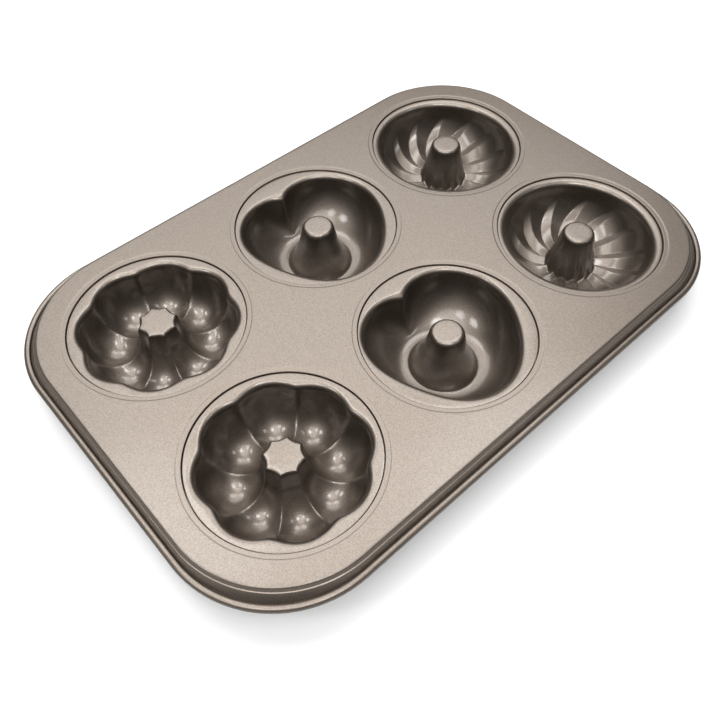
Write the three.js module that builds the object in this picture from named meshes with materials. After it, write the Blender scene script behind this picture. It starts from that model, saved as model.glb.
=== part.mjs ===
// Six-cup ring-cake pan: a rolled-rim tray frame that holds six crimped baking cups in three forms.
// Millimetres, +Z up. The cups stand on z = 0 and the middle of the pan is over the origin.
// +X runs along the length, from the pumpkin cups to the spiral cups; the hearts' clefts face +Y.
import * as THREE from 'three';

// Sheet metal and the crimped seam round each cup
const SHEET = 0.6;
const CUP_DEPTH = 26.4;
const SEAM_RADIUS = 42;
const SEAM_CLEARANCE = 0.3;
const SEAM_EDGE_ROUND = 0.3;
const COLLAR_DEPTH = 3.6;
const HOOK_REACH = 1.2;
const WEB_DROP = 0.8;

// Layout of the cups in the tray frame
const CUP_GAP_X = 13;
const CUP_GAP_Y = 11.4;
const END_MARGIN = 13.2;
const SIDE_MARGIN = 12.2;

// Plate edge, skirt and rolled rim
const PLATE_CORNER_RADIUS = 52;
const PLATE_EDGE_ROUND = 1;
const PLATE_EDGE_TURN = 60;
const SKIRT_FLARE = 2.6;
const RIM_DROP = 6.3;
const RIM_CORNER_RADIUS = 52;
const WIRE_DIAMETER = 1.6;
const WIRE_CLEARANCE = 0.3;
const HEM_OPENING = 1.6;

// Rounded edges and the level of the posts' tops, which most cup forms share
const LIP_WIDTH = 1.2;
const LIP_DEPTH = 1.2;
const POST_DROP = 0.4;
const POST_EDGE_ROUND = 1;

// Pumpkin cups: lobes with sharp ridges between them, and a post with a point at each ridge
const PUMPKIN_LOBES = 8;
const PUMPKIN_LOBE_WEB = 2.4;
const PUMPKIN_RIDGE_WEB = 5;
const PUMPKIN_RIDGE_RISE = 3.8;
const PUMPKIN_TROUGH_RADIUS = 22;
const PUMPKIN_FLOOR_LIFT = 1.1;
const PUMPKIN_POST_POINT_RADIUS = 9.6;
const PUMPKIN_POST_HOLLOW = 1.2;
const PUMPKIN_POST_TAPER = 1.4;
const PUMPKIN_POST_STRAIGHT = 9;
const PUMPKIN_FRONT_TURN = 43;
const PUMPKIN_BACK_TURN = 31;

// Heart cups: three-cornered mouth with a cleft and a leaning tip, round flared post and a flat floor band
const HEART_WEB = 3.2;
const HEART_MOUTH_SHIFT = 1.6;
const HEART_CORNER_RISE = 1.9;
const HEART_NARROWING = 0.6;
const HEART_CLEFT_DEPTH = 7.2;
const HEART_CLEFT_SPREAD = 13;
const HEART_CLEFT_ROUND = 4.5;
const HEART_CLEFT_TURN = 90;
const HEART_TIP_LEAN = 11.5;
const HEART_BACK_SHIFT = 1.7;
const HEART_POST_EDGE_ROUND = 1.8;
const HEART_POST_TOP_RADIUS = 8.4;
const HEART_POST_NECK_RADIUS = 10.5;
const HEART_POST_NECK_DEPTH = 12.5;
const HEART_POST_FOOT_RADIUS = 17;
const HEART_FLOOR_BAND = 5;

// Spiral cups: round mouth, cone post and swirling ribs that taper off on the wall like leaves
const SPIRAL_RIBS = 14;
const SPIRAL_WEB = 1.5;
const SPIRAL_LIP_WIDTH = 2.6;
const SPIRAL_LIP_DEPTH = 2.4;
const SPIRAL_RIB_RISE = 2;
const SPIRAL_RIB_REACH = 0.82;
const SPIRAL_TIP_SHARE = 0.2;
const SPIRAL_FLOOR_SWIRL = 3.4;
const SPIRAL_WALL_SWIRL = 20.6;
const SPIRAL_FLOOR_LIFT = 1.1;
const SPIRAL_FLOOR_RADIUS = 18;
const SPIRAL_POST_TOP_RADIUS = 8.3;
const SPIRAL_POST_FOOT_RADIUS = 12.8;
const SPIRAL_FRONT_TURN = 21.3;
const SPIRAL_BACK_TURN = 13.4;

// Steps that round shapes are cut into
const CORNER_STEPS = 8;
const EDGE_STEPS = 2;
const HOLE_STEPS = 24;
const CURL_STEPS = 7;
const WIRE_SIDES = 8;
const LOBE_STEPS = 4;
const HEART_STEPS = 40;
const WALL_STEPS = 3;

// Levels and places that follow from the sizes above
const PLATE_TOP = CUP_DEPTH + SHEET;
const PITCH_X = 2 * SEAM_RADIUS + CUP_GAP_X;
const PITCH_Y = 2 * SEAM_RADIUS + CUP_GAP_Y;
const PLATE_HALF_LENGTH = PITCH_X + SEAM_RADIUS + END_MARGIN;
const PLATE_HALF_WIDTH = PITCH_Y / 2 + SEAM_RADIUS + SIDE_MARGIN;
const HOLE_RADIUS = SEAM_RADIUS + SEAM_CLEARANCE / 2;
const FLANGE_RADIUS = SEAM_RADIUS - SEAM_CLEARANCE / 2;
const WEB_EDGE_RADIUS = FLANGE_RADIUS - SEAM_EDGE_ROUND;
const HOOK_TOP = -COLLAR_DEPTH - SEAM_CLEARANCE;
const HOOK_RADIUS = HOLE_RADIUS + SHEET + HOOK_REACH;
const POST_TOP = -POST_DROP;
const CURL_INNER_RADIUS = WIRE_DIAMETER / 2 + WIRE_CLEARANCE;
const RIM_CENTRE_OUT = SKIRT_FLARE + CURL_INNER_RADIUS;

const radians = THREE.MathUtils.degToRad;

// A pressed sheet as one closed surface: rings of points joined by strips, fans and flat plates.
class PressedSheet {
  constructor() {
    this.points = [];
    this.faces = [];
  }

  point(position) {
    return this.points.push(position) - 1;
  }

  ring(positions) {
    return positions.map((position) => this.point(position));
  }

  // Joins rings one after another; the outside lies to the left of the way along the profile.
  strips(rings) {
    for (let k = 1; k < rings.length; k += 1) {
      const from = rings[k - 1];
      const to = rings[k];
      from.forEach((corner, i) => {
        const next = (i + 1) % from.length;
        this.faces.push(corner, to[i], to[next], corner, to[next], from[next]);
      });
    }
  }

  // Closes a ring to a single point, facing up or down.
  fan(centre, ring, up) {
    ring.forEach((corner, i) => {
      const next = ring[(i + 1) % ring.length];
      this.faces.push(centre, up ? corner : next, up ? next : corner);
    });
  }

  // Fills the area inside an outline and outside its holes, facing up or down.
  plate(outline, holes, up) {
    const flat = (ring) => ring.map((i) => new THREE.Vector2(this.points[i].x, this.points[i].y));
    const corners = [...outline, ...holes.flat()];
    const triangles = THREE.ShapeUtils.triangulateShape(flat(outline), holes.map(flat));
    for (const triangle of triangles) {
      const [a, b, c] = triangle.map((i) => corners[i]);
      const facesUp = THREE.ShapeUtils.area(flat([a, b, c])) > 0;
      this.faces.push(a, facesUp === up ? b : c, facesUp === up ? c : b);
    }
  }

  geometry() {
    const geometry = new THREE.BufferGeometry();
    geometry.setFromPoints(this.points);
    geometry.setIndex(this.faces);
    geometry.computeVertexNormals();
    return geometry;
  }
}

// A rounded rectangle at one level, grown outward from the plate's edge.
function trayOutline(out, z, cornerRadius) {
  const halfLength = PLATE_HALF_LENGTH + out;
  const halfWidth = PLATE_HALF_WIDTH + out;
  const points = [];
  for (let corner = 0; corner < 4; corner += 1) {
    const sideX = corner === 0 || corner === 3 ? 1 : -1;
    const sideY = corner < 2 ? 1 : -1;
    for (let step = 0; step <= CORNER_STEPS; step += 1) {
      const angle = (corner + step / CORNER_STEPS) * Math.PI / 2;
      const x = sideX * (halfLength - cornerRadius) + cornerRadius * Math.cos(angle);
      const y = sideY * (halfWidth - cornerRadius) + cornerRadius * Math.sin(angle);
      points.push(new THREE.Vector3(x, y, z));
    }
  }
  return points;
}

// An outline that keeps its distance from the plate's edge all the way round.
function plateOutline(out, z) {
  return trayOutline(out, z, PLATE_CORNER_RADIUS + out);
}

// An outline that keeps its distance from the wire's centre line all the way round.
function rimOutline(radius, angle) {
  const aside = radius * Math.cos(angle);
  const z = -RIM_DROP + radius * Math.sin(angle);
  return trayOutline(RIM_CENTRE_OUT + aside, z, RIM_CORNER_RADIUS + aside);
}

// Plate edge, skirt and open curl, walked from the plate's top to its underside.
function rimRings() {
  const edge = (radius, turn) => plateOutline(
    radius * Math.sin(turn) - PLATE_EDGE_ROUND,
    radius * Math.cos(turn) - PLATE_EDGE_ROUND,
  );
  const underRound = PLATE_EDGE_ROUND - SHEET;
  const edgeTurn = radians(PLATE_EDGE_TURN);
  const turns = Array.from({ length: EDGE_STEPS + 1 }, (_, i) => i * edgeTurn / EDGE_STEPS);
  const curlTurn = 2 * Math.PI - HEM_OPENING / (CURL_INNER_RADIUS + SHEET);
  const curlStep = curlTurn / CURL_STEPS;
  const inner = CURL_INNER_RADIUS / Math.cos(curlStep / 2);
  const angles = Array.from({ length: CURL_STEPS + 1 }, (_, i) => Math.PI + i * curlStep);
  return [
    ...turns.map((turn) => edge(PLATE_EDGE_ROUND, turn)),
    ...angles.map((angle) => rimOutline(inner, angle)),
    ...angles.toReversed().map((angle) => rimOutline(inner + SHEET, angle)),
    edge(underRound, edgeTurn),
    edge(underRound, 0),
  ];
}

// Turned-down collar of a hole, walked from the plate's underside to its top.
function collarRings(centre) {
  const circle = (radius, z) => {
    const reach = radius / Math.cos(Math.PI / HOLE_STEPS);
    return Array.from({ length: HOLE_STEPS }, (_, i) => {
      const angle = i * 2 * Math.PI / HOLE_STEPS;
      return new THREE.Vector3(centre.x + reach * Math.cos(angle), centre.y + reach * Math.sin(angle), z);
    });
  };
  const plateUnderside = -SHEET;
  return [
    circle(HOLE_RADIUS + SEAM_EDGE_ROUND + SHEET, plateUnderside),
    circle(HOLE_RADIUS + SHEET, plateUnderside - SEAM_EDGE_ROUND),
    circle(HOLE_RADIUS + SHEET, -COLLAR_DEPTH),
    circle(HOLE_RADIUS, -COLLAR_DEPTH),
    circle(HOLE_RADIUS, -SEAM_EDGE_ROUND),
    circle(HOLE_RADIUS + SEAM_EDGE_ROUND, 0),
  ];
}

// Plate with six collared holes, skirt and rolled hem.
function trayFrame(centres) {
  const sheet = new PressedSheet();
  const rim = rimRings().map((ring) => sheet.ring(ring));
  const collars = centres.map((centre) => collarRings(centre).map((ring) => sheet.ring(ring)));
  sheet.strips(rim);
  collars.forEach((collar) => sheet.strips(collar));
  sheet.plate(rim.at(0), collars.map((collar) => collar.at(-1)), true);
  sheet.plate(rim.at(-1), collars.map((collar) => collar.at(0)), false);
  return sheet.geometry();
}

// Stiffening wire that lies inside the rolled hem all the way round.
function rimWire() {
  const sheet = new PressedSheet();
  const sides = Array.from({ length: WIRE_SIDES }, (_, i) => -i * 2 * Math.PI / WIRE_SIDES);
  const rings = sides.map((angle) => sheet.ring(rimOutline(WIRE_DIAMETER / 2, angle)));
  sheet.strips([...rings, rings[0]]);
  return sheet.geometry();
}

// Post top with a rounded edge; the radius is the post's just below that edge.
function postTopRows(radius, edgeRound) {
  return [
    { r: radius - edgeRound, z: POST_TOP },
    { r: radius, z: POST_TOP - edgeRound },
  ];
}

// Quarter ellipse from a level floor out and up to the foot of the lip.
function wallRow(share, floor, lipFoot) {
  const turn = share * Math.PI / 2;
  const run = lipFoot.r - floor.r;
  const rise = lipFoot.z - floor.z;
  return { r: floor.r + run * Math.sin(turn), z: floor.z + rise * (1 - Math.cos(turn)) };
}

// Flat web, flange down the seam and hook under the frame's collar.
function seamRows() {
  return [
    { r: WEB_EDGE_RADIUS, z: -WEB_DROP },
    { r: FLANGE_RADIUS, z: -WEB_DROP - SEAM_EDGE_ROUND },
    { r: FLANGE_RADIUS, z: HOOK_TOP },
    { r: HOOK_RADIUS, z: HOOK_TOP },
  ];
}

// Shares of the wall's quarter turn at which its rows lie.
function wallShares() {
  return Array.from({ length: WALL_STEPS }, (_, i) => (i + 1) / WALL_STEPS);
}

// Middle of the quarter ellipse that leads from a post's side into a level floor.
function footBend(side, floor) {
  return {
    r: side.r + (floor.r - side.r) * (1 - Math.SQRT1_2),
    z: side.z + (floor.z - side.z) * Math.SQRT1_2,
  };
}

// Profile of a pumpkin cup at an angle from one of its ridges.
function pumpkinProfile(angle) {
  const across = (angle * PUMPKIN_LOBES / Math.PI) % 2 - 1;
  const bulge = 1 - across * across;
  const postRadius = PUMPKIN_POST_POINT_RADIUS - PUMPKIN_POST_HOLLOW * bulge;
  const side = { r: postRadius + PUMPKIN_POST_TAPER, z: POST_TOP - PUMPKIN_POST_STRAIGHT };
  const lift = PUMPKIN_FLOOR_LIFT + PUMPKIN_RIDGE_RISE * (1 - bulge);
  const floor = { r: PUMPKIN_TROUGH_RADIUS, z: -CUP_DEPTH + lift };
  const web = PUMPKIN_RIDGE_WEB + (PUMPKIN_LOBE_WEB - PUMPKIN_RIDGE_WEB) * bulge;
  const lip = { r: SEAM_RADIUS - web, z: -WEB_DROP };
  const lipFoot = { r: lip.r - LIP_WIDTH, z: lip.z - LIP_DEPTH };
  const rows = [
    ...postTopRows(postRadius, POST_EDGE_ROUND),
    side,
    footBend(side, floor),
    floor,
    ...wallShares().map((share) => wallRow(share, floor, lipFoot)),
    lip,
  ];
  return { angle, rows };
}

// Width of the web outside a heart's mouth at an angle from its cleft.
function heartWeb(angle) {
  const fromCleft = Math.min(angle, 2 * Math.PI - angle);
  const round = radians(HEART_CLEFT_ROUND);
  const cleft = Math.exp((round - Math.hypot(fromCleft, round)) / radians(HEART_CLEFT_SPREAD));
  const leaning = angle + radians(HEART_TIP_LEAN) * (1 - Math.cos(angle)) / 2;
  const corners = HEART_CORNER_RISE * Math.cos(3 * leaning) - HEART_NARROWING * Math.cos(2 * leaning);
  return HEART_WEB - HEART_MOUTH_SHIFT * Math.cos(leaning) + corners + HEART_CLEFT_DEPTH * cleft;
}

// Profile of a heart cup at an angle from its cleft.
function heartProfile(angle) {
  const lip = { r: SEAM_RADIUS - heartWeb(angle), z: -WEB_DROP };
  const lipFoot = { r: lip.r - LIP_WIDTH, z: lip.z - LIP_DEPTH };
  const neck = { r: HEART_POST_NECK_RADIUS, z: -HEART_POST_NECK_DEPTH };
  const foot = { r: HEART_POST_FOOT_RADIUS, z: -CUP_DEPTH };
  const floor = { r: HEART_POST_FOOT_RADIUS + HEART_FLOOR_BAND, z: -CUP_DEPTH };
  const rows = [
    ...postTopRows(HEART_POST_TOP_RADIUS, HEART_POST_EDGE_ROUND),
    neck,
    foot,
    floor,
    ...wallShares().map((share) => wallRow(share, floor, lipFoot)),
    lip,
  ];
  return { angle, rows };
}

// Profile of a spiral cup along one edge: ridges and valleys of the ribs take turns round the cup.
// Each valley closes in on the ridge before it on the way up the wall.
function spiralProfile(edge) {
  const halfPitch = Math.PI / SPIRAL_RIBS;
  const angle = edge * halfPitch;
  const onRidge = edge % 2 === 0;
  const crest = onRidge ? SPIRAL_RIB_RISE : 0;
  const lip = { r: SEAM_RADIUS - SPIRAL_WEB, z: -WEB_DROP };
  const lipFoot = { r: lip.r - SPIRAL_LIP_WIDTH, z: lip.z - SPIRAL_LIP_DEPTH };
  const floor = { r: SPIRAL_FLOOR_RADIUS, z: -CUP_DEPTH + SPIRAL_FLOOR_LIFT };
  const swirl = (share) => -radians(SPIRAL_FLOOR_SWIRL + SPIRAL_WALL_SWIRL * share);
  const lipTurn = swirl(1);
  const ribbedRow = (share) => {
    const { r, z } = wallRow(share, floor, lipFoot);
    const lean = share * Math.PI / 2;
    const left = 1 - (share / SPIRAL_RIB_REACH) ** 2;
    if (left <= 0) {
      return { r, z, turn: lipTurn };
    }
    const closing = onRidge ? 0 : (1 - left) * (1 - SPIRAL_TIP_SHARE) * halfPitch;
    const height = crest * left;
    return { r: r - height * Math.sin(lean), z: z + height * Math.cos(lean), turn: swirl(share) - closing };
  };
  const rows = [
    ...postTopRows(SPIRAL_POST_TOP_RADIUS, POST_EDGE_ROUND),
    { r: SPIRAL_POST_FOOT_RADIUS, z: floor.z + crest },
    ribbedRow(0),
    ...wallShares().map(ribbedRow),
    { ...lip, turn: lipTurn },
  ];
  return { angle, rows, seamTurn: lipTurn };
}

// Lays profiles round a cup's axis as rows of points. The form may sit off the seam's centre.
function layRows(profiles, shift) {
  const lay = ({ r, z }, angle) => new THREE.Vector3(r * Math.cos(angle), r * Math.sin(angle), z);
  const lipLimit = WEB_EDGE_RADIUS - SHEET / 2;
  const formRows = profiles[0].rows.map((_, k) => profiles.map(({ angle, rows }) => {
    const point = lay(rows[k], angle + (rows[k].turn ?? 0));
    point.x += shift;
    const reach = Math.hypot(point.x, point.y);
    const draw = Math.min(1, lipLimit / reach);
    return point.multiply(new THREE.Vector3(draw, draw, 1));
  }));
  const edgeRows = seamRows().map((row) => profiles.map(
    ({ angle, seamTurn = 0 }) => lay(row, angle + seamTurn),
  ));
  return [...formRows, ...edgeRows];
}

// Moves a sheet's upper rows through its thickness, square to the faces round each point.
function undersideRows(rows, apex) {
  return rows.map((row, k) => row.map((point, i) => {
    const inner = k > 0 ? rows[k - 1][i] : apex;
    const outer = k + 1 < rows.length ? rows[k + 1][i] : null;
    const before = row.at(i - 1);
    const after = row[(i + 1) % row.length];
    const pairs = [[after, inner], [inner, before]];
    if (outer) {
      pairs.push([outer, after], [before, outer]);
    }
    const normals = pairs.map(([first, second]) => {
      const edge = first.clone().sub(point);
      return edge.cross(second.clone().sub(point)).normalize();
    });
    const normal = normals.reduce((sum, each) => sum.add(each), new THREE.Vector3()).normalize();
    const spread = normals.reduce((sum, each) => sum + each.dot(normal), 0) / normals.length;
    return point.clone().addScaledVector(normal, -SHEET / spread);
  }));
}

// A cup pressed from one sheet: upper face, hook edge and underside.
function pressedCup(profiles, shift = 0) {
  const rows = layRows(profiles, shift);
  const apex = new THREE.Vector3(shift, 0, POST_TOP);
  const apexBelow = new THREE.Vector3(shift, 0, POST_TOP - SHEET);
  const sheet = new PressedSheet();
  const upper = rows.map((row) => sheet.ring(row));
  const lower = undersideRows(rows, apex).map((row) => sheet.ring(row));
  sheet.fan(sheet.point(apex), upper[0], true);
  sheet.strips([...upper, ...lower.toReversed()]);
  sheet.fan(sheet.point(apexBelow), lower[0], false);
  return sheet.geometry();
}

// Profiles round a full turn for a form that depends on the angle alone.
function profilesRound(steps, profileAt) {
  return Array.from({ length: steps }, (_, i) => profileAt(i * 2 * Math.PI / steps));
}

function pumpkinCup() {
  return pressedCup(profilesRound(PUMPKIN_LOBES * LOBE_STEPS, pumpkinProfile));
}

function heartCup(shift) {
  return pressedCup(profilesRound(HEART_STEPS, heartProfile), shift);
}

function spiralCup() {
  return pressedCup(Array.from({ length: 2 * SPIRAL_RIBS }, (_, edge) => spiralProfile(edge)));
}

// Finishes
const coating = { color: 0x8b8078, roughness: 0.42, metalness: 0.7 };
const frameFinish = () => new THREE.MeshStandardMaterial({ ...coating, color: 0xa09489 });
const cupFinish = () => new THREE.MeshStandardMaterial(coating);
const wireFinish = () => new THREE.MeshStandardMaterial({ color: 0x9a9a98, roughness: 0.5, metalness: 1 });

// Assembly, hung from the level of the plate's top
const pan = new THREE.Group();
const tray = new THREE.Group();
tray.position.z = PLATE_TOP;
pan.add(tray);

function addMesh(name, geometry, material) {
  const mesh = new THREE.Mesh(geometry, material);
  mesh.name = name;
  tray.add(mesh);
  return mesh;
}

function addCup(name, geometry, place, turnDegrees) {
  const cup = addMesh(name, geometry, cupFinish());
  cup.position.set(place.x, place.y, 0);
  cup.rotation.z = radians(turnDegrees);
}

const cupPlace = (column, row) => new THREE.Vector2(column * PITCH_X, row * PITCH_Y / 2);
const cupPlaces = [-1, 0, 1].flatMap((column) => [-1, 1].map((row) => cupPlace(column, row)));
const [pumpkinFront, pumpkinBack, heartFront, heartBack, spiralFront, spiralBack] = cupPlaces;

addMesh('tray_frame', trayFrame(cupPlaces), frameFinish());
addMesh('rim_wire', rimWire(), wireFinish());
addCup('pumpkin_cup_front', pumpkinCup(), pumpkinFront, PUMPKIN_FRONT_TURN);
addCup('pumpkin_cup_back', pumpkinCup(), pumpkinBack, PUMPKIN_BACK_TURN);
addCup('heart_cup_front', heartCup(0), heartFront, HEART_CLEFT_TURN);
addCup('heart_cup_back', heartCup(-HEART_BACK_SHIFT), heartBack, HEART_CLEFT_TURN);
addCup('spiral_cup_front', spiralCup(), spiralFront, SPIRAL_FRONT_TURN);
addCup('spiral_cup_back', spiralCup(), spiralBack, SPIRAL_BACK_TURN);

export default pan;
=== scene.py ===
"""Six-cup ring-cake pan: a coated steel tray with pumpkin, heart and spiral cups crimped into it.

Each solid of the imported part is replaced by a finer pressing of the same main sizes. A flat round blank
is drawn out row by row, pressed into the form of its die and then given the thickness of the sheet. Sizes
are in millimetres where nothing else is said, and heights are measured from the top of the tray's plate.
"""

import logging
import math
from collections.abc import Sequence
from dataclasses import dataclass, field
from enum import Enum

import bpy
from mathutils import Matrix, Vector


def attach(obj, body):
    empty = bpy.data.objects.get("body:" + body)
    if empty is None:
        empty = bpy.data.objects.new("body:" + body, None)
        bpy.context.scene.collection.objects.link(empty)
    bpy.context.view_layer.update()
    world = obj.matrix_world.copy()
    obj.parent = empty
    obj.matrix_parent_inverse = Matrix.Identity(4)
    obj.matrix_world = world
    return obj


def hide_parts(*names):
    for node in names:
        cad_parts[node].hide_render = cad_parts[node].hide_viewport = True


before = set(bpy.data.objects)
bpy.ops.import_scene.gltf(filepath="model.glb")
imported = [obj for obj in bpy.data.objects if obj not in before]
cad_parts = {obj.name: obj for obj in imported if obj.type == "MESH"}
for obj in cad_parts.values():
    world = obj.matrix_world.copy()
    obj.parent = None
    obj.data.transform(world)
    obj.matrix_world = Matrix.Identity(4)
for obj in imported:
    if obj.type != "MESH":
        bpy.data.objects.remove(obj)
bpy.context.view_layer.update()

LOG = logging.getLogger("pan")
MM = 0.001
FULL_TURN = 2.0 * math.pi
QUARTER_TURN = math.pi / 2.0
BODY = "root"

Rows = list[list[Vector]]


class Form(Enum):
    """The three forms of cup, in order along the pan."""

    PUMPKIN = -1
    HEART = 0
    SPIRAL = 1


class Row(Enum):
    """The two rows of cups, on either side of the pan's middle."""

    FRONT = -1
    BACK = 1


class Blank(Enum):
    """How a flat blank starts: as a whole disc, or as a ring with an open middle."""

    DISC = "TRIFAN"
    RING = "NOTHING"


@dataclass(frozen=True)
class SheetMetal:
    """The steel sheet, and the crimped seam that holds each cup in a hole of the tray."""

    thickness: float = 0.6
    cup_depth: float = 26.4
    seam_radius: float = 42.0
    seam_clearance: float = 0.3
    seam_edge_round: float = 0.2
    flange_round: float = 0.35
    collar_depth: float = 3.6
    hook_reach: float = 1.2
    web_drop: float = 0.95
    cup_gap_x: float = 13.0
    cup_gap_y: float = 11.4

    @property
    def plate_top(self) -> float:
        """Height of the plate's top over the surface that the cups stand on."""
        return self.cup_depth + self.thickness

    @property
    def hole_radius(self) -> float:
        """Inside radius of a hole's collar."""
        return self.seam_radius + self.seam_clearance / 2

    @property
    def flange_radius(self) -> float:
        """Outside radius of a cup's flange."""
        return self.seam_radius - self.seam_clearance / 2

    @property
    def web_edge_radius(self) -> float:
        """Radius at which a cup's flat web starts to turn down into the seam."""
        return self.flange_radius - self.flange_round

    def cup_place(self, form: Form, row: Row) -> Vector:
        """Finds the middle of a cup's seam.

        Args:
            form: The cup's form, which sets its column.
            row: The cup's row.

        Returns:
            The place, in millimetres, at the level of the plate's top.
        """
        pitch_x = 2 * self.seam_radius + self.cup_gap_x
        pitch_y = 2 * self.seam_radius + self.cup_gap_y
        return Vector((form.value * pitch_x, row.value * pitch_y / 2, self.plate_top))


SHEET = SheetMetal()


class Section:
    """A section through a pressed sheet, drawn point by point as radius and height."""

    def __init__(self, radius: float, height: float) -> None:
        """Starts the section at a point."""
        self.points = [Vector((radius, height))]

    def line(self, end: Sequence[float], steps: int = 1) -> "Section":
        """Draws a straight stretch.

        Args:
            end: Radius and height of its last point.
            steps: How many points it adds.

        Returns:
            The section itself.
        """
        start = self.points[-1]
        self.points += [start.lerp(Vector(end), (step + 1) / steps) for step in range(steps)]
        return self

    def bend(self, corner: Sequence[float], end: Sequence[float], steps: int) -> "Section":
        """Draws a quarter ellipse that leaves towards a corner and arrives from it.

        Args:
            corner: Radius and height of the corner that the bend rounds off.
            end: Radius and height of its last point.
            steps: How many points it adds.

        Returns:
            The section itself.
        """
        start = self.points[-1]
        outward = Vector(corner) - start
        onward = Vector(end) - Vector(corner)
        for step in range(steps):
            turn = (step + 1) / steps * QUARTER_TURN
            self.points.append(start + outward * math.sin(turn) + onward * (1.0 - math.cos(turn)))
        return self


def soften(distance: float, rounding: float) -> float:
    """Rounds off the kink of a distance at zero.

    Args:
        distance: A share from 0, at the kink, to 1.
        rounding: The share over which the kink is rounded.

    Returns:
        The rounded share, still 0 at the kink and 1 at the far end.
    """
    far_end = math.hypot(1.0, rounding)
    return (math.hypot(distance, rounding) - rounding) / (far_end - rounding)


def draw_blank(name: str, start: Blank, columns: int, rows: int) -> bpy.types.Object:
    """Draws a flat blank out row by row, each row at a radius that is its number.

    Args:
        name: The piece's name.
        start: Whether the middle is filled.
        columns: Points round each row.
        rows: How many rows it has outside the middle.

    Returns:
        The new mesh object, in object mode.
    """
    bpy.ops.object.select_all(action="DESELECT")
    bpy.ops.mesh.primitive_circle_add(vertices=columns, radius=1.0, fill_type=start.value)
    blank = bpy.context.active_object
    blank.name = name
    bpy.ops.object.mode_set(mode="EDIT")
    bpy.ops.mesh.select_mode(type="EDGE")
    bpy.ops.mesh.select_all(action="SELECT")
    if start is Blank.DISC:
        bpy.ops.mesh.region_to_loop()
    for row in range(1, rows):
        growth = (row + 1) / row
        bpy.ops.mesh.extrude_edges_indiv()
        bpy.ops.transform.resize(value=(growth, growth, 1.0), center_override=(0.0, 0.0, 0.0))
    bpy.ops.object.mode_set(mode="OBJECT")
    return blank


def press(blank: bpy.types.Object, rows: Rows, first_row: int) -> None:
    """Presses a flat blank into its die.

    Args:
        blank: The blank, with each row at a radius that is its number.
        rows: The die, as rows of places in millimetres.
        first_row: The blank's row that the die's first row takes.
    """
    columns = len(rows[-1])
    for vertex in blank.data.vertices:
        flat = vertex.co.to_2d()
        row = rows[round(flat.length) - first_row]
        turn = math.atan2(flat.y, flat.x) / FULL_TURN
        vertex.co = row[round(turn * columns) % len(row)] * MM
    blank.data.update()


def clean_sheet(piece: bpy.types.Object) -> None:
    """Merges doubles and turns the sheet's upper face up.

    Args:
        piece: A pressed sheet without thickness.
    """
    merge_distance = 0.001 * MM
    bpy.ops.object.mode_set(mode="EDIT")
    bpy.ops.mesh.select_all(action="SELECT")
    bpy.ops.mesh.remove_doubles(threshold=merge_distance)
    bpy.ops.mesh.normals_make_consistent(inside=False)
    bpy.ops.object.mode_set(mode="OBJECT")
    highest = max(piece.data.polygons, key=lambda face: face.center.z)
    if highest.normal.z < 0.0:
        bpy.ops.object.mode_set(mode="EDIT")
        bpy.ops.mesh.flip_normals()
        bpy.ops.object.mode_set(mode="OBJECT")


def thicken(piece: bpy.types.Object) -> None:
    """Gives a pressed sheet its thickness, under its upper face.

    Args:
        piece: A clean pressed sheet, which is the active object.
    """
    wall = piece.modifiers.new("sheet", "SOLIDIFY")
    wall.thickness = SHEET.thickness * MM
    wall.offset = -1.0
    wall.use_even_offset = True
    wall.use_quality_normals = True
    bpy.ops.object.modifier_apply(modifier=wall.name)


def dress(piece: bpy.types.Object, finish: bpy.types.Material, node: str) -> None:
    """Smooths a finished piece, gives it its finish and puts it in the place of its solid.

    Args:
        piece: The finished piece.
        finish: Its material.
        node: The solid that it stands for.
    """
    smooth_angle = math.radians(40.0)
    bpy.ops.object.select_all(action="DESELECT")
    piece.select_set(True)
    bpy.context.view_layer.objects.active = piece
    bpy.ops.object.shade_smooth_by_angle(angle=smooth_angle)
    piece.data.materials.clear()
    piece.data.materials.append(finish)
    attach(piece, BODY)
    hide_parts(node)
    LOG.info("%s: %d faces, in place of %s", piece.name, len(piece.data.polygons), node)


def plain_material(name: str) -> bpy.types.Material:
    """Starts a material with its shader at the defaults.

    Args:
        name: The material's name.

    Returns:
        The material.
    """
    material = bpy.data.materials.new(name)
    material.use_nodes = True
    return material


def grain(tree: bpy.types.NodeTree, waves_per_metre: float, detail: float) -> bpy.types.NodeSocket:
    """Adds a fine noise on Object coordinates.

    Args:
        tree: The material's nodes.
        waves_per_metre: How fine the noise is.
        detail: Octaves of finer noise.

    Returns:
        The noise's value.
    """
    place = tree.nodes.new("ShaderNodeTexCoord")
    noise = tree.nodes.new("ShaderNodeTexNoise")
    noise.inputs["Scale"].default_value = waves_per_metre
    noise.inputs["Detail"].default_value = detail
    tree.links.new(place.outputs["Object"], noise.inputs["Vector"])
    return noise.outputs["Fac"]


def graded(tree: bpy.types.NodeTree, value: bpy.types.NodeSocket, ends: tuple[float, float],
           span: tuple[float, float] = (0.0, 1.0)) -> bpy.types.NodeSocket:
    """Grades a value evenly between two ends, and holds it at them outside its span.

    Args:
        tree: The material's or the world's nodes.
        value: The value to grade.
        ends: What it becomes at the start and at the end of the span.
        span: The values at which the grading starts and ends.

    Returns:
        The graded value.
    """
    grade = tree.nodes.new("ShaderNodeMapRange")
    for socket, number in zip(("From Min", "From Max", "To Min", "To Max"), (*span, *ends)):
        grade.inputs[socket].default_value = number
    tree.links.new(value, grade.inputs["Value"])
    return grade.outputs["Result"]


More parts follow.
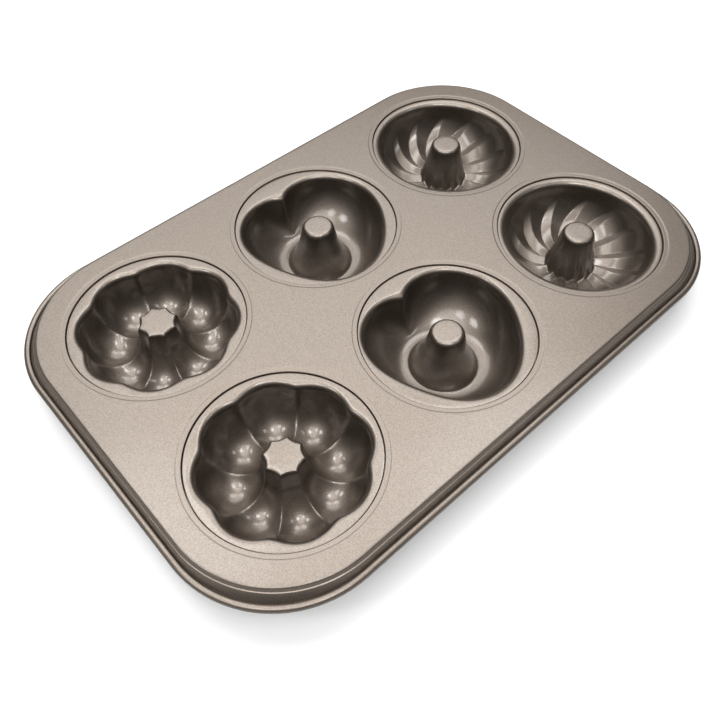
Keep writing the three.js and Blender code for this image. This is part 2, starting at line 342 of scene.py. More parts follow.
@dataclass(frozen=True)
class Coating:
    """Satin non-stick coating: a metallic taupe lacquer with fine bright flakes under a clear gloss.

    The colour carries painted shade, darker in the cups' depth and on steep walls. It falls to the share
    painted_depth_shade between the heights painted_shade_top and painted_shade_bottom, which are measured
    from the surface that the pan stands on. It falls to the share painted_steep_shade on steep walls, by
    the upward part of the surface's normal, which is 1 on a level face and 0 on an upright one.
    """

    name: str
    slot: str
    smooth: float
    rough: float
    gloss: float
    gloss_index: float
    gloss_roughness: float
    # Painted shade: the shares of the colour left in the cups' depth and on steep walls, and their spans.
    painted_depth_shade: float = 1.0
    painted_shade_bottom: float = 14.0
    painted_shade_top: float = 25.0
    painted_steep_shade: float = 1.0
    steep_normal: float = 0.3
    level_normal: float = 0.85
    dark: tuple[float, float, float] = (0.3, 0.253, 0.213)
    light: tuple[float, float, float] = (0.406, 0.342, 0.288)
    metallic: float = 1.0
    flakes_per_metre: float = 1900.0
    flake_detail: float = 2.0
    flake_range: tuple[float, float] = (0.32, 0.68)
    peel_per_metre: float = 1300.0
    peel_detail: float = 4.0
    peel_strength: float = 0.5
    peel_height: float = 0.006

    def material(self) -> bpy.types.Material:
        """Builds the coating's material.

        Returns:
            The material, on Object coordinates.
        """
        material = plain_material(self.name)
        tree = material.node_tree
        shader = tree.nodes["Principled BSDF"]
        shader.inputs["Metallic"].default_value = self.metallic
        shader.inputs["Coat Weight"].default_value = self.gloss
        shader.inputs["Coat IOR"].default_value = self.gloss_index
        shader.inputs["Coat Roughness"].default_value = self.gloss_roughness
        flakes = grain(tree, self.flakes_per_metre, self.flake_detail)
        # The base colour carries painted shade for depth and steep walls.
        colour = self.paint_shade(tree, self.flake_tones(tree, flakes))
        satin = graded(tree, flakes, (self.rough, self.smooth), self.flake_range)
        tree.links.new(colour, shader.inputs["Base Color"])
        tree.links.new(satin, shader.inputs["Roughness"])
        tree.links.new(self.orange_peel(tree), shader.inputs["Normal"])
        return material

    def flake_tones(self, tree: bpy.types.NodeTree, flakes: bpy.types.NodeSocket) -> bpy.types.NodeSocket:
        """Colours the lacquer from dark to light by its flakes.

        Args:
            tree: The material's nodes.
            flakes: The flakes' noise.

        Returns:
            The colour.
        """
        tones = tree.nodes.new("ShaderNodeValToRGB")
        stops = tones.color_ramp.elements
        for stop, place, colour in zip(stops, self.flake_range, (self.dark, self.light)):
            stop.position = place
            stop.color = (*colour, 1.0)
        tree.links.new(flakes, tones.inputs["Fac"])
        return tones.outputs["Color"]

    def paint_shade(self, tree: bpy.types.NodeTree, colour: bpy.types.NodeSocket) -> bpy.types.NodeSocket:
        """Paints shade into the colour: darker with depth and on steep walls, alike on both faces of the
        sheet.

        Args:
            tree: The material's nodes.
            colour: The lacquer's colour.

        Returns:
            The colour with its painted shade.
        """
        # Painted shade: the colour is scaled down by height and by steepness, standing in for the shade
        # that falls in the cups.
        heights = (self.painted_shade_bottom * MM, self.painted_shade_top * MM)
        normals = (self.steep_normal, self.level_normal)
        painted_shades = (("Object", heights, self.painted_depth_shade), ("Normal", normals, self.painted_steep_shade))
        place = tree.nodes.new("ShaderNodeTexCoord")
        for source, span, shade in painted_shades:
            upward = tree.nodes.new("ShaderNodeSeparateXYZ")
            tree.links.new(place.outputs[source], upward.inputs["Vector"])
            size = tree.nodes.new("ShaderNodeMath")
            size.operation = "ABSOLUTE"
            tree.links.new(upward.outputs["Z"], size.inputs[0])
            darker = tree.nodes.new("ShaderNodeVectorMath")
            darker.operation = "SCALE"
            tree.links.new(colour, darker.inputs[0])
            tree.links.new(graded(tree, size.outputs["Value"], (shade, 1.0), span), darker.inputs["Scale"])
            colour = darker.outputs["Vector"]
        return colour

    def orange_peel(self, tree: bpy.types.NodeTree) -> bpy.types.NodeSocket:
        """Gives the sprayed lacquer its fine unevenness.

        Args:
            tree: The material's nodes.

        Returns:
            The uneven normal.
        """
        bump = tree.nodes.new("ShaderNodeBump")
        bump.inputs["Strength"].default_value = self.peel_strength
        bump.inputs["Distance"].default_value = self.peel_height * MM
        tree.links.new(grain(tree, self.peel_per_metre, self.peel_detail), bump.inputs["Height"])
        return bump.outputs["Normal"]


@dataclass(frozen=True)
class DrawnWire:
    """Plain drawn steel of the stiffening wire."""

    name: str = "drawn_wire"
    slot: str = "wire_steel"
    colour: tuple[float, float, float] = (0.56, 0.56, 0.55)
    metallic: float = 1.0
    smooth: float = 0.3
    rough: float = 0.55
    scratches_per_metre: float = 900.0
    scratch_detail: float = 2.0

    def material(self) -> bpy.types.Material:
        """Builds the wire's material.

        Returns:
            The material, with fine drawing scratches in its roughness.
        """
        material = plain_material(self.name)
        tree = material.node_tree
        shader = tree.nodes["Principled BSDF"]
        shader.inputs["Base Color"].default_value = (*self.colour, 1.0)
        shader.inputs["Metallic"].default_value = self.metallic
        scratches = grain(tree, self.scratches_per_metre, self.scratch_detail)
        tree.links.new(graded(tree, scratches, (self.smooth, self.rough)), shader.inputs["Roughness"])
        return material


@dataclass
class PressedCup:
    """What all cups share: the post's top edge, the lip, the web and the crimped edge."""

    post_edge_round: float
    lip_width: float
    lip_depth: float = 3.4
    post_drop: float = 0.4
    top_steps: int = 3
    edge_steps: int = 6
    lip_steps: int = 6
    web_steps: int = 3
    flange_bend_steps: int = 6
    flange_steps: int = 2
    hook_steps: int = 2

    @property
    def post_top(self) -> float:
        """Height of the post's top, just under the level of the plate."""
        return -self.post_drop

    @property
    def wall_top(self) -> float:
        """Height at which the wall ends and the lip starts."""
        return -SHEET.web_drop - self.lip_depth

    def post_start(self, radius: float, below: Sequence[float]) -> Section:
        """Draws the post's flat top and its rounded edge.

        Args:
            radius: The post's radius just below the edge.
            below: Radius and height of a point further down the post's side.

        Returns:
            The section so far.
        """
        side = Vector((radius, self.post_top - self.post_edge_round))
        slope = Vector(below) - side
        corner = side - slope * ((side.y - self.post_top) / slope.y)
        section = Section(0.0, self.post_top)
        section.line((radius - self.post_edge_round, self.post_top), self.top_steps)
        return section.bend(corner, side, self.edge_steps)

    def lip_end(self, section: Section, lip_radius: float) -> Section:
        """Draws the rounded lip, from the top of the wall out to the web.

        Args:
            section: The section up to the foot of the lip.
            lip_radius: Radius at which the web starts.

        Returns:
            The section so far.
        """
        foot = section.points[-1]
        return section.bend((foot.x, -SHEET.web_drop), (lip_radius, -SHEET.web_drop), self.lip_steps)

    def seam_end(self, lip_radius: float) -> Section:
        """Draws the web, the flange down the seam and the hook under the tray's collar.

        Args:
            lip_radius: Radius at which the web starts.

        Returns:
            A section that starts at the lip.
        """
        flange = SHEET.flange_radius
        hook_top = -SHEET.collar_depth - SHEET.seam_clearance
        hook_end = SHEET.hole_radius + SHEET.thickness + SHEET.hook_reach
        section = Section(lip_radius, -SHEET.web_drop)
        section.line((SHEET.web_edge_radius, -SHEET.web_drop), self.web_steps)
        flange_start = (flange, -SHEET.web_drop - SHEET.flange_round)
        section.bend((flange, -SHEET.web_drop), flange_start, self.flange_bend_steps)
        section.line((flange, hook_top), self.flange_steps)
        return section.line((hook_end, hook_top), self.hook_steps)

    def lay(self, sections: Sequence[Section], angles: Sequence[Sequence[float]], shift: Vector) -> Rows:
        """Lays sections round the cup's axis and adds the crimped edge.

        Args:
            sections: One section for each column, from the axis to the lip.
            angles: For each column, the angle of each of its section's points, in radians.
            shift: How far the form sits from the middle of the seam.

        Returns:
            The die's rows, with one place for the tip of the axis.
        """
        limit = SHEET.web_edge_radius
        rows: Rows = []
        for step in range(len(sections[0].points)):
            row = []
            for section, turns in zip(sections, angles):
                radius, height = section.points[step]
                turn = turns[step]
                place = Vector((radius * math.cos(turn), radius * math.sin(turn))) + shift
                if place.length > limit:
                    place *= limit / place.length
                row.append(Vector((place.x, place.y, height)))
            rows.append(row)
        lips = rows[-1]
        edges = [self.seam_end(lip.to_2d().length) for lip in lips]
        for step in range(1, len(edges[0].points)):
            row = []
            for lip, edge in zip(lips, edges):
                radius, height = edge.points[step]
                outward = lip.to_2d().normalized() * radius
                row.append(Vector((outward.x, outward.y, height)))
            rows.append(row)
        rows[0] = rows[0][:1]
        return rows

    def die(self, row: Row) -> Rows:
        """Works out the form's die."""
        raise NotImplementedError

    def pressing(self, name: str, row: Row) -> bpy.types.Object:
        """Presses one cup round the origin.

        Args:
            name: The piece's name.
            row: The row that the cup is for.

        Returns:
            The cup with its sheet's thickness.
        """
        rows = self.die(row)
        blank = draw_blank(name, Blank.DISC, len(rows[-1]), len(rows) - 1)
        press(blank, rows, 0)
        clean_sheet(blank)
        thicken(blank)
        return blank


def set_in_tray(cup: bpy.types.Object, place: Vector, turn: float) -> None:
    """Turns a cup and sets it in its hole, with its place in its mesh.

    Args:
        cup: A cup pressed round the origin.
        place: The middle of its seam, in millimetres.
        turn: How far it is turned about its axis, in degrees.
    """
    bpy.ops.object.select_all(action="DESELECT")
    cup.select_set(True)
    bpy.context.view_layer.objects.active = cup
    cup.location = place * MM
    cup.rotation_euler.z = math.radians(turn)
    bpy.ops.object.transform_apply(location=True, rotation=True, scale=True)


def copy_of(piece: bpy.types.Object, name: str) -> bpy.types.Object:
    """Copies a piece with a mesh of its own.

    Args:
        piece: The piece to copy.
        name: The copy's name.

    Returns:
        The copy.
    """
    bpy.ops.object.select_all(action="DESELECT")
    piece.select_set(True)
    bpy.context.view_layer.objects.active = piece
    bpy.ops.object.duplicate(linked=False)
    copy = bpy.context.active_object
    copy.name = name
    return copy


@dataclass
class PumpkinCup(PressedCup):
    """Eight round lobes with sharp ridges between them, and a post with a point at each ridge."""

    lobes: int = 8
    lobe_web: float = 1.9
    ridge_web: float = 4.5
    ridge_rise: float = 3.8
    trough_radius: float = 22.0
    floor_lift: float = 1.1
    post_point_radius: float = 9.6
    post_hollow: float = 1.2
    post_taper: float = 1.4
    post_edge_round: float = 1.6
    lip_width: float = 3.0
    post_straight: float = 9.0
    ridge_rounding: float = 0.05
    mouth_rounding: float = 0.22
    lobe_columns: int = 24
    crowding: float = 0.7
    side_steps: int = 5
    foot_steps: int = 14
    wall_steps: int = 18
    turns: dict[Row, float] = field(default_factory=lambda: {Row.FRONT: 43.0, Row.BACK: 31.0})

    def column_section(self, across: float) -> Section:
        """Draws the section at a place across a lobe.

        Args:
            across: From -1 at one ridge to 1 at the next.

        Returns:
            The section from the axis to the lip.
        """
        bulge = 1.0 - (1.0 - soften(1.0 - abs(across), self.ridge_rounding)) ** 2
        mouth_bulge = 1.0 - (1.0 - soften(1.0 - abs(across), self.mouth_rounding)) ** 2
        post_radius = self.post_point_radius - self.post_hollow * bulge
        side = (post_radius + self.post_taper, self.post_top - self.post_straight)
        floor_z = -SHEET.cup_depth + self.floor_lift + self.ridge_rise * (1.0 - bulge)
        web = self.ridge_web + (self.lobe_web - self.ridge_web) * mouth_bulge
        lip = SHEET.seam_radius - web
        wall = lip - self.lip_width
        section = self.post_start(post_radius, side)
        section.line(side, self.side_steps)
        section.bend((side[0], floor_z), (self.trough_radius, floor_z), self.foot_steps)
        section.bend((wall, floor_z), (wall, self.wall_top), self.wall_steps)
        return self.lip_end(section, lip)

    def die(self, row: Row) -> Rows:
        """Works out the pumpkin's die, with columns crowded at the ridges.

        Args:
            row: Not used, because both pumpkins have one form.

        Returns:
            The die's rows.
        """
        sections = []
        angles = []
        for lobe in range(self.lobes):
            for column in range(self.lobe_columns):
                share = column / self.lobe_columns
                across = 2.0 * share - 1.0 - self.crowding * math.sin(FULL_TURN * share) / math.pi
                section = self.column_section(across)
                angle = (lobe + (across + 1.0) / 2.0) * FULL_TURN / self.lobes
                sections.append(section)
                angles.append([angle] * len(section.points))
        return self.lay(sections, angles, Vector((0.0, 0.0)))


@dataclass
class HeartCup(PressedCup):
    """Three-cornered mouth with a cleft, a round flared post and a shallow trough of floor."""

    web: float = 2.5
    lip_width: float = 3.2
    mouth_shift: float = 1.6
    corner_rise: float = 1.9
    narrowing: float = 0.6
    cleft_depth: float = 7.2
    cleft_spread: float = 13.0
    cleft_round: float = 4.5
    lip_cleft_depth: float = 5.4
    lip_cleft_round: float = 15.0
    cleft_turn: float = 90.0
    tip_lean: float = 11.5
    back_shift: float = 1.7
    post_edge_round: float = 2.2
    post_top_radius: float = 8.4
    neck_radius: float = 10.5
    neck_depth: float = 12.5
    neck_bend: float = 2.5
    foot_radius: float = 17.0
    foot_bend: float = 0.5
    floor_band: float = 5.0
    trough_radius: float = 18.4
    trough_curve: float = 0.05
    wall_start_slope: float = 0.45
    trough_steps: int = 6
    columns: int = 224
    crowding: float = 0.7
    side_steps: int = 6
    neck_steps: int = 5
    flare_steps: int = 6
    foot_steps: int = 4
    wall_steps: int = 18

    def mouth_radius(self, angle: float, cleft_depth: float, cleft_round: float) -> float:
        """Finds the mouth's radius.

        Args:
            angle: The angle from the cleft, in radians.
            cleft_depth: How far the cleft reaches in.
            cleft_round: How widely its point is rounded, in degrees.

        Returns:
            The radius at which the web ends.
        """
        from_cleft = min(angle, FULL_TURN - angle)
        rounding = math.radians(cleft_round)
        past_point = rounding - math.hypot(from_cleft, rounding)
        cleft = math.exp(past_point / math.radians(self.cleft_spread))
        leaning = angle + math.radians(self.tip_lean) * (1.0 - math.cos(angle)) / 2.0
        three_corners = self.corner_rise * math.cos(3.0 * leaning)
        two_flanks = self.narrowing * math.cos(2.0 * leaning)
        round_web = self.web - self.mouth_shift * math.cos(leaning)
        web = round_web + (three_corners - two_flanks) + cleft_depth * cleft
        return SHEET.seam_radius - web

    def trough_point(self, share: float) -> Vector:
        """Finds a point of the hollow floor, at a share of the way from the post's foot to the wall."""
        radius = self.foot_radius + self.floor_band * share
        return Vector((radius, self.trough_curve * (radius - self.trough_radius) ** 2 - SHEET.cup_depth))

    def column_section(self, angle: float) -> Section:
        """Draws the section at an angle from the cleft.

        Args:
            angle: The angle, in radians.

        Returns:
            The section from the axis to the lip.
        """
        lip = self.mouth_radius(angle, self.lip_cleft_depth, self.lip_cleft_round)
        wall = self.mouth_radius(angle, self.cleft_depth, self.cleft_round) - self.lip_width
        neck = Vector((self.neck_radius, -self.neck_depth))
        foot = self.trough_point(0.0)
        section = self.post_start(self.post_top_radius, neck)
        shoulder = section.points[-1]
        above = neck + (shoulder - neck).normalized() * self.neck_bend
        below = neck + (foot - neck).normalized() * self.neck_bend
        flare_end = foot + (neck - foot).normalized() * self.foot_bend
        section.line(above, self.side_steps)
        section.bend(neck, below, self.neck_steps)
        section.line(flare_end, self.flare_steps)
        section.bend(foot, self.trough_point(self.foot_bend / self.floor_band), self.foot_steps)
        for step in range(1, self.trough_steps + 1):
            section.line(self.trough_point(step / self.trough_steps))
        start = section.points[-1]
        corner = (wall, start.y + (wall - start.x) * self.wall_start_slope)
        section.bend(corner, (wall, self.wall_top), self.wall_steps)
        return self.lip_end(section, lip)

    def die(self, row: Row) -> Rows:
        """Works out a heart's die, with columns crowded at the cleft.

        Args:
            row: The row, because the back heart sits off the middle of its seam.

        Returns:
            The die's rows.
        """
        even = [column * FULL_TURN / self.columns for column in range(self.columns)]
        angles = [angle - self.crowding * math.sin(angle) for angle in even]
        sections = [self.column_section(angle) for angle in angles]
        turns = [[angle] * len(section.points) for angle, section in zip(angles, sections)]
        shift = self.back_shift if row is Row.BACK else 0.0
        return self.lay(sections, turns, Vector((-shift, 0.0)))


@dataclass
class SpiralCup(PressedCup):
    """Round mouth, cone post and swirling ribs that taper off on the wall like leaves."""

    ribs: int = 14
    web: float = 1.2
    lip_width: float = 3.5
    post_edge_round: float = 2.0
    rib_rise: float = 2.3
    rib_reach: float = 0.82
    tip_share: float = 0.2
    rib_rounding: float = 0.05
    floor_swirl: float = 3.4
    wall_swirl: float = 20.6
    floor_lift: float = 1.1
    floor_radius: float = 18.0
    post_top_radius: float = 8.3
    post_foot_radius: float = 12.8
    foot_bend: float = 0.9
    rib_columns: int = 18
    crowding: float = 0.6
    side_steps: int = 10
    foot_steps: int = 4
    floor_steps: int = 5
    wall_steps: int = 24
    turns: dict[Row, float] = field(default_factory=lambda: {Row.FRONT: 21.3, Row.BACK: 13.4})

    def crest(self, share: float) -> float:
        """Finds how much of the ribs' rise a column has, from 1 on a ridge to 0 in a valley."""
        ramp = 1.0 - abs(2.0 * share - 1.0)
        return 1.0 - (1.0 + soften(ramp, self.rib_rounding) - soften(1.0 - ramp, self.rib_rounding)) / 2.0

    def rib_left(self, part: float) -> float:
        """Finds how much of the ribs' rise is left at a part of the way up the wall."""
        return max(0.0, 1.0 - (part / self.rib_reach) ** 2)

    def closing(self, share: float, part: float) -> float:
        """Finds how far a column turns back because each valley closes in on the ridge before it.

        Args:
            share: Place across a rib, from 0 on one ridge to 1 on the next.
            part: Part of the way up the wall.

        Returns:
            The turn, in radians, which is the largest in the valley and none on the ridges.
        """
        half_pitch = math.pi / self.ribs
        past_tip = max(0.0, (part - self.rib_reach) / (1.0 - self.rib_reach))
        evened = 1.0 - past_tip
        in_valley = 1.0 - abs(2.0 * share - 1.0)
        return in_valley * (1.0 - self.rib_left(part)) * (1.0 - self.tip_share) * half_pitch * evened

    def column(self, share: float) -> tuple[Section, list[float]]:
        """Draws one column's section and its swirl.

        Args:
            share: Place across a rib, from 0 on one ridge to 1 on the next.

        Returns:
            The section from the axis to the lip, and each point's turn in radians.
        """
        rise = self.rib_rise * self.crest(share)
        floor_z = -SHEET.cup_depth + self.floor_lift
        lip = SHEET.seam_radius - self.web
        wall = Vector((lip - self.lip_width, self.wall_top))
        foot = Vector((self.post_foot_radius, floor_z + rise))
        section = self.post_start(self.post_top_radius, foot)
        shoulder = section.points[-1]
        section.line(foot + (shoulder - foot).normalized() * self.foot_bend, self.side_steps)
        section.bend(foot, (foot.x + self.foot_bend, foot.y), self.foot_steps)
        turns = [0.0] * len(section.points)
        section.line((self.floor_radius, foot.y), self.floor_steps)
        for step in range(self.floor_steps):
            turns.append(-math.radians(self.floor_swirl) * (step + 1) / self.floor_steps)
        for step in range(self.wall_steps):
            part = (step + 1) / self.wall_steps
            lean = part * QUARTER_TURN
            height = rise * self.rib_left(part)
            radius = self.floor_radius + (wall.x - self.floor_radius) * math.sin(lean)
            z = floor_z + (wall.y - floor_z) * (1.0 - math.cos(lean))
            section.line((radius - height * math.sin(lean), z + height * math.cos(lean)))
            swirl = math.radians(self.floor_swirl + self.wall_swirl * part)
            turns.append(-swirl - self.closing(share, part))
        self.lip_end(section, lip)
        turns += [turns[-1]] * (len(section.points) - len(turns))
        return section, turns

    def die(self, row: Row) -> Rows:
        """Works out the spiral's die, with columns crowded at ridges and valleys.

        Args:
            row: Not used, because both spirals have one form.

        Returns:
            The die's rows.
        """
        sections = []
        angles = []
        for rib in range(self.ribs):
            for column in range(self.rib_columns):
                even = column / self.rib_columns
                share = even - self.crowding * math.sin(2.0 * FULL_TURN * even) / (2.0 * FULL_TURN)
                section, turns = self.column(share)
                angle = (rib + share) * FULL_TURN / self.ribs
                sections.append(section)
                angles.append([angle + turn for turn in turns])
        return self.lay(sections, angles, Vector((0.0, 0.0)))


@dataclass
class TrayFrame:
    """The plate with six collared holes, its rounded edge, the skirt and the rolled hem.

    The ledge on the skirt is given by its points: how far each is outside the plate's edge, and its height.
    """

    end_margin: float = 13.2
    side_margin: float = 12.2
    corner_radius: float = 52.0
    rim_corner_radius: float = 52.0
    edge_round: float = 1.2
    edge_turn: float = 66.0
    ledge: tuple[tuple[float, float], ...] = ((0.3, -2.0), (0.38, -2.14), (0.82, -2.28), (0.94, -2.5))
    skirt_flare: float = 2.6
    rim_drop: float = 6.3
    wire_diameter: float = 1.6
    wire_clearance: float = 0.3
    hem_opening: float = 1.6
    corner_steps: int = 28
    edge_steps: int = 6
    skirt_steps: int = 3
    curl_steps: int = 30
    wire_sides: int = 16
    flat_strip: float = 0.8
    seat_radius: float = 44.9
    seat_drop: float = 0.16
    seat_ramp: float = 0.9
    hole_columns: int = 128
    collar_steps: int = 2
    seam_edge_steps: int = 6
    seat_steps: int = 2
    ramp_steps: int = 3

    @property
    def half_length(self) -> float:
        """Half of the plate's length, to the outside of its rounded edge."""
        return SHEET.cup_place(Form.SPIRAL, Row.BACK).x + SHEET.seam_radius + self.end_margin

    @property
    def half_width(self) -> float:
        """Half of the plate's width, to the outside of its rounded edge."""
        return SHEET.cup_place(Form.SPIRAL, Row.BACK).y + SHEET.seam_radius + self.side_margin

    @property
    def curl_radius(self) -> float:
        """Inside radius of the rolled hem."""
        return self.wire_diameter / 2 + self.wire_clearance

    @property
    def rim_out(self) -> float:
        """Distance of the wire's centre line outside the plate's edge."""
        return self.skirt_flare + self.curl_radius

    def outline(self, out: float, height: float, corner_radius: float) -> list[Vector]:
        """Draws a rounded rectangle at one level.

        Args:
            out: How far it is grown outward from the plate's edge.
            height: Its height.
            corner_radius: The radius of its corners.

        Returns:
            Its points, anticlockwise.
        """
        points = []
        for corner, (side_x, side_y) in enumerate(((1, 1), (-1, 1), (-1, -1), (1, -1))):
            centre_x = side_x * (self.half_length + out - corner_radius)
            centre_y = side_y * (self.half_width + out - corner_radius)
            for step in range(self.corner_steps + 1):
                angle = (corner + step / self.corner_steps) * QUARTER_TURN
                x = centre_x + corner_radius * math.cos(angle)
                y = centre_y + corner_radius * math.sin(angle)
                points.append(Vector((x, y, height + SHEET.plate_top)))
        return points

    def edge_ring(self, turn: float) -> list[Vector]:
        """Draws a ring of the plate's rounded edge.

        Args:
            turn: How far the edge has turned down there, in radians.

        Returns:
            The ring's points.
        """
        out = self.edge_round * (math.sin(turn) - 1.0)
        height = self.edge_round * (math.cos(turn) - 1.0)
        return self.outline(out, height, self.corner_radius + out)

    def rim_ring(self, radius: float, angle: float) -> list[Vector]:
        """Draws a ring that runs along the wire's centre line.

        Args:
            radius: Its distance from the centre line.
            angle: Its angle round the centre line, in radians from outward.

        Returns:
            The ring's points.
        """
        aside = radius * math.cos(angle)
        height = radius * math.sin(angle) - self.rim_drop
        return self.outline(self.rim_out + aside, height, self.rim_corner_radius + aside)

    def rim_rows(self) -> Rows:
        """Draws the flat strip, the rounded edge, the ledge, the skirt and the curl of the hem.

        Returns:
            The die's rows, from the plate outward.
        """
        inside = -self.edge_round - self.flat_strip
        rows = [self.outline(inside, 0.0, self.corner_radius + inside)]
        for step in range(self.edge_steps + 1):
            rows.append(self.edge_ring(math.radians(self.edge_turn) * step / self.edge_steps))
        for out, height in self.ledge:
            rows.append(self.outline(out, height, self.corner_radius + out))
        curl_start = self.rim_ring(self.curl_radius, math.pi)
        skirt_start = rows[-1]
        for step in range(1, self.skirt_steps):
            share = step / self.skirt_steps
            rows.append([top.lerp(foot, share) for top, foot in zip(skirt_start, curl_start)])
        curl_turn = FULL_TURN - self.hem_opening / (self.curl_radius + SHEET.thickness)
        for step in range(self.curl_steps + 1):
            rows.append(self.rim_ring(self.curl_radius, math.pi + curl_turn * step / self.curl_steps))
        return rows

    def collar_rows(self) -> Rows:
        """Draws a hole's collar, the seam's rounded edge and the shallow seat round it.

        Returns:
            The die's rows, from the collar's foot outward.
        """
        hole = SHEET.hole_radius
        section = Section(hole, -SHEET.collar_depth)
        section.line((hole, -self.seat_drop - SHEET.seam_edge_round), self.collar_steps)
        seat_start = (hole + SHEET.seam_edge_round, -self.seat_drop)
        section.bend((hole, -self.seat_drop), seat_start, self.seam_edge_steps)
        section.line((self.seat_radius - self.seat_ramp, -self.seat_drop), self.seat_steps)
        middle = (self.seat_radius - self.seat_ramp / 2, -self.seat_drop / 2)
        section.bend((middle[0], -self.seat_drop), middle, self.ramp_steps)
        section.bend((middle[0], 0.0), (self.seat_radius, 0.0), self.ramp_steps)
        section.line((self.seat_radius + self.flat_strip, 0.0))
        angles = [column * FULL_TURN / self.hole_columns for column in range(self.hole_columns)]
        return [
            [Vector((radius * math.cos(angle), radius * math.sin(angle), height)) for angle in angles]
            for radius, height in section.points
        ]

    def ring_piece(self, name: str, rows: Rows) -> bpy.types.Object:
        """Presses a ring-shaped strip.

        Args:
            name: The strip's name.
            rows: Its die.

        Returns:
            The strip, without thickness.
        """
        blank = draw_blank(name, Blank.RING, len(rows[0]), len(rows))
        press(blank, rows, 1)
        return blank

    def build(self, finish: Coating) -> None:
        """Builds the tray frame: rim and collars joined by a flat plate.

        Args:
            finish: The frame's coating.
        """
        first = self.ring_piece("collar", self.collar_rows())
        collars = []
        for form in Form:
            for row in Row:
                collar = copy_of(first, "collar_copy")
                set_in_tray(collar, SHEET.cup_place(form, row), 0.0)
                collars.append(collar)
        bpy.data.objects.remove(first)
        tray = self.ring_piece("tray_pressing", self.rim_rows())
        bpy.ops.object.select_all(action="DESELECT")
        for part in (*collars, tray):
            part.select_set(True)
        bpy.context.view_layer.objects.active = tray
        bpy.ops.object.join()
        self.fill_plate(tray)
        clean_sheet(tray)
        thicken(tray)
        dress(tray, finish.material(), "tray_frame")

    def fill_plate(self, tray: bpy.types.Object) -> None:
        """Fills the flat plate between the rim and the collars.

        Args:
            tray: The joined strips, which are the active object.
        """
        tolerance = self.seat_drop / 4
        level = (SHEET.plate_top - tolerance) * MM
        bpy.ops.object.mode_set(mode="EDIT")
        bpy.ops.mesh.select_mode(type="EDGE")
        bpy.ops.mesh.select_all(action="DESELECT")
        bpy.ops.mesh.select_non_manifold(
            use_wire=False,
            use_boundary=True,
            use_multi_face=False,
            use_non_contiguous=False,
            use_verts=False,
        )
        bpy.ops.object.mode_set(mode="OBJECT")
        for edge in tray.data.edges:
            lowest = min(tray.data.vertices[corner].co.z for corner in edge.vertices)
            edge.select = edge.select and lowest > level
        bpy.ops.object.mode_set(mode="EDIT")
        bpy.ops.mesh.fill(use_beauty=True)
        bpy.ops.object.mode_set(mode="OBJECT")

    def build_wire(self, finish: DrawnWire) -> None:
        """Builds the stiffening wire that lies in the hem.

        Args:
            finish: The wire's finish.
        """
        turns = [step * FULL_TURN / self.wire_sides for step in range(self.wire_sides + 1)]
        rows = [self.rim_ring(self.wire_diameter / 2, turn) for turn in turns]
        wire = self.ring_piece("rim_wire_loop", rows)
        clean_sheet(wire)
        dress(wire, finish.material(), "rim_wire")


@dataclass(frozen=True)
class Softbox:
    """A soft studio lamp that hangs over the pan and faces it. Angles are in degrees, sizes in metres."""

    name: str
    azimuth: float
    elevation: float
    width: float
    height: float
    watts: float
    distance: float = 1.2

    def hang(self) -> None:
        """Adds the lamp."""
        aside = math.radians(self.azimuth)
        up = math.radians(self.elevation)
        way = Vector((math.cos(aside) * math.cos(up), math.sin(aside) * math.cos(up), math.sin(up)))
        bpy.ops.object.select_all(action="DESELECT")
        bpy.ops.object.light_add(type="AREA", location=way * self.distance)
        lamp = bpy.context.active_object
        lamp.name = self.name
        lamp.data.shape = "ELLIPSE"
        lamp.data.size = self.width
        lamp.data.size_y = self.height
        lamp.data.energy = self.watts
        lamp.rotation_euler = way.to_track_quat("Z", "Y").to_euler()


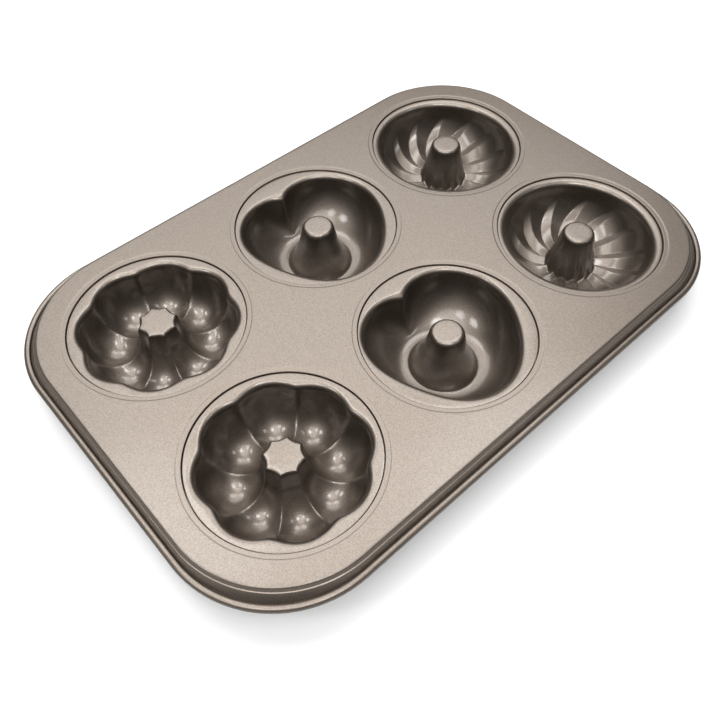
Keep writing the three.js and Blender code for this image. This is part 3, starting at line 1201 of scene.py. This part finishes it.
@dataclass(frozen=True)
class Studio:
    """Pale floor, soft lamps and the camera.

    The camera's place and aim are measured from the middle of the plate's top, and the floor's side is in
    metres.
    """

    camera_place: tuple[float, float, float] = (-169.4, -177.1, 269.7)
    camera_aim: tuple[float, float, float] = (-41.4, -32.9, 0.0)
    camera_roll: float = -0.35
    lens: float = 36.8
    sensor: float = 36.0
    floor_side: float = 12.0
    floor_gap: float = 0.05
    floor_white: float = 0.95
    floor_in_metal: float = 0.35
    floor_roughness: float = 0.9
    ambient: float = 0.01
    floor_ambient: float = 0.55
    lamps: tuple[Softbox, ...] = (
        Softbox("back_left_softbox", 108.0, 66.0, 0.45, 0.45, 2.4),
        Softbox("back_right_softbox", 8.0, 64.0, 0.45, 0.45, 2.1),
        Softbox("top_softbox", 50.0, 74.0, 0.45, 0.45, 1.1),
        Softbox("back_bank", 60.0, 48.0, 1.6, 0.6, 3.9),
        Softbox("front_fill", -135.0, 66.0, 0.9, 0.9, 4.2),
        Softbox("left_softbox", 168.0, 47.0, 0.26, 0.26, 1.5),
        Softbox("front_softbox", -105.0, 62.0, 0.26, 0.26, 1.5),
        Softbox("near_softbox", -160.0, 50.0, 0.26, 0.26, 1.0),
        Softbox("right_softbox", -55.0, 45.0, 0.26, 0.26, 0.7),
    )

    def floor(self) -> None:
        """Lays the floor, white with the pan's shadow to the camera and darker in the metal."""
        bpy.ops.object.select_all(action="DESELECT")
        bpy.ops.mesh.primitive_plane_add(size=self.floor_side, location=(0.0, 0.0, -self.floor_gap * MM))
        floor = bpy.context.active_object
        floor.name = "floor"
        material = plain_material("white_floor")
        tree = material.node_tree
        shader = tree.nodes["Principled BSDF"]
        shader.inputs["Roughness"].default_value = self.floor_roughness
        shader.inputs["Specular IOR Level"].default_value = 0.0
        path = tree.nodes.new("ShaderNodeLightPath")
        tone = graded(tree, path.outputs["Is Glossy Ray"], (self.floor_white, self.floor_in_metal))
        tree.links.new(tone, shader.inputs["Base Color"])
        floor.data.materials.append(material)

    def world(self) -> None:
        """Sets the room's light: white to the camera, soft on the floor and almost dark in the metal."""
        world = bpy.data.worlds.new("room")
        bpy.context.scene.world = world
        world.use_nodes = True
        tree = world.node_tree
        room = tree.nodes["Background"]
        room.inputs["Color"].default_value = (1.0, 1.0, 1.0, 1.0)
        path = tree.nodes.new("ShaderNodeLightPath")
        level = graded(tree, path.outputs["Is Diffuse Ray"], (self.ambient, self.floor_ambient))
        seen = tree.nodes.new("ShaderNodeMath")
        seen.operation = "MAXIMUM"
        tree.links.new(level, seen.inputs[0])
        tree.links.new(path.outputs["Is Camera Ray"], seen.inputs[1])
        tree.links.new(seen.outputs["Value"], room.inputs["Strength"])

    def camera(self) -> None:
        """Sets the camera at the photograph's place and angle."""
        bpy.ops.object.select_all(action="DESELECT")
        bpy.ops.object.camera_add()
        camera = bpy.context.active_object
        plate = Vector((0.0, 0.0, SHEET.plate_top))
        place = (plate + Vector(self.camera_place)) * MM
        aim = (plate + Vector(self.camera_aim)) * MM
        level = (aim - place).to_track_quat("-Z", "Y").to_matrix()
        roll = Matrix.Rotation(math.radians(self.camera_roll), 3, "Z")
        camera.matrix_world = Matrix.LocRotScale(place, level @ roll, None)
        camera.data.lens = self.lens
        camera.data.sensor_width = self.sensor
        bpy.context.scene.camera = camera

    def build(self) -> None:
        """Sets up the whole studio."""
        self.camera()
        self.floor()
        self.world()
        for lamp in self.lamps:
            lamp.hang()
        bpy.context.scene.view_settings.view_transform = "Standard"


def build_cups(finish: Coating) -> None:
    """Builds the six cups: pumpkins and spirals as copies of one pressing, hearts one by one.

    Args:
        finish: The cups' coating.
    """
    material = finish.material()
    for form, cup in ((Form.PUMPKIN, PumpkinCup()), (Form.SPIRAL, SpiralCup())):
        label = form.name.lower()
        front = cup.pressing(f"{label}_front_pressing", Row.FRONT)
        back = copy_of(front, f"{label}_back_pressing")
        for row, piece in ((Row.FRONT, front), (Row.BACK, back)):
            set_in_tray(piece, SHEET.cup_place(form, row), cup.turns[row])
            dress(piece, material, f"{label}_cup_{row.name.lower()}")
    heart = HeartCup()
    for row in Row:
        piece = heart.pressing(f"heart_{row.name.lower()}_pressing", row)
        set_in_tray(piece, SHEET.cup_place(Form.HEART, row), heart.cleft_turn)
        dress(piece, material, f"heart_cup_{row.name.lower()}")


def main() -> None:
    """Builds the pan and its studio."""
    logging.basicConfig(level=logging.INFO, format="%(name)s: %(message)s")
    frame_coating = Coating(
        name="satin_frame_coating",
        slot="frame_coating",
        smooth=0.44,
        rough=0.5,
        gloss=0.45,
        gloss_index=1.7,
        gloss_roughness=0.18,
    )
    cup_coating = Coating(
        name="glossy_cup_coating",
        slot="cup_coating",
        smooth=0.43,
        rough=0.49,
        gloss=0.55,
        gloss_index=1.8,
        gloss_roughness=0.13,
        # Painted shade in the cups' colour: down to 0.78 in their depth and to 0.5 on steep walls.
        painted_depth_shade=0.78,
        painted_steep_shade=0.5,
    )
    tray = TrayFrame()
    tray.build(frame_coating)
    tray.build_wire(DrawnWire())
    build_cups(cup_coating)
    Studio().build()


if __name__ == "__main__":
    main()
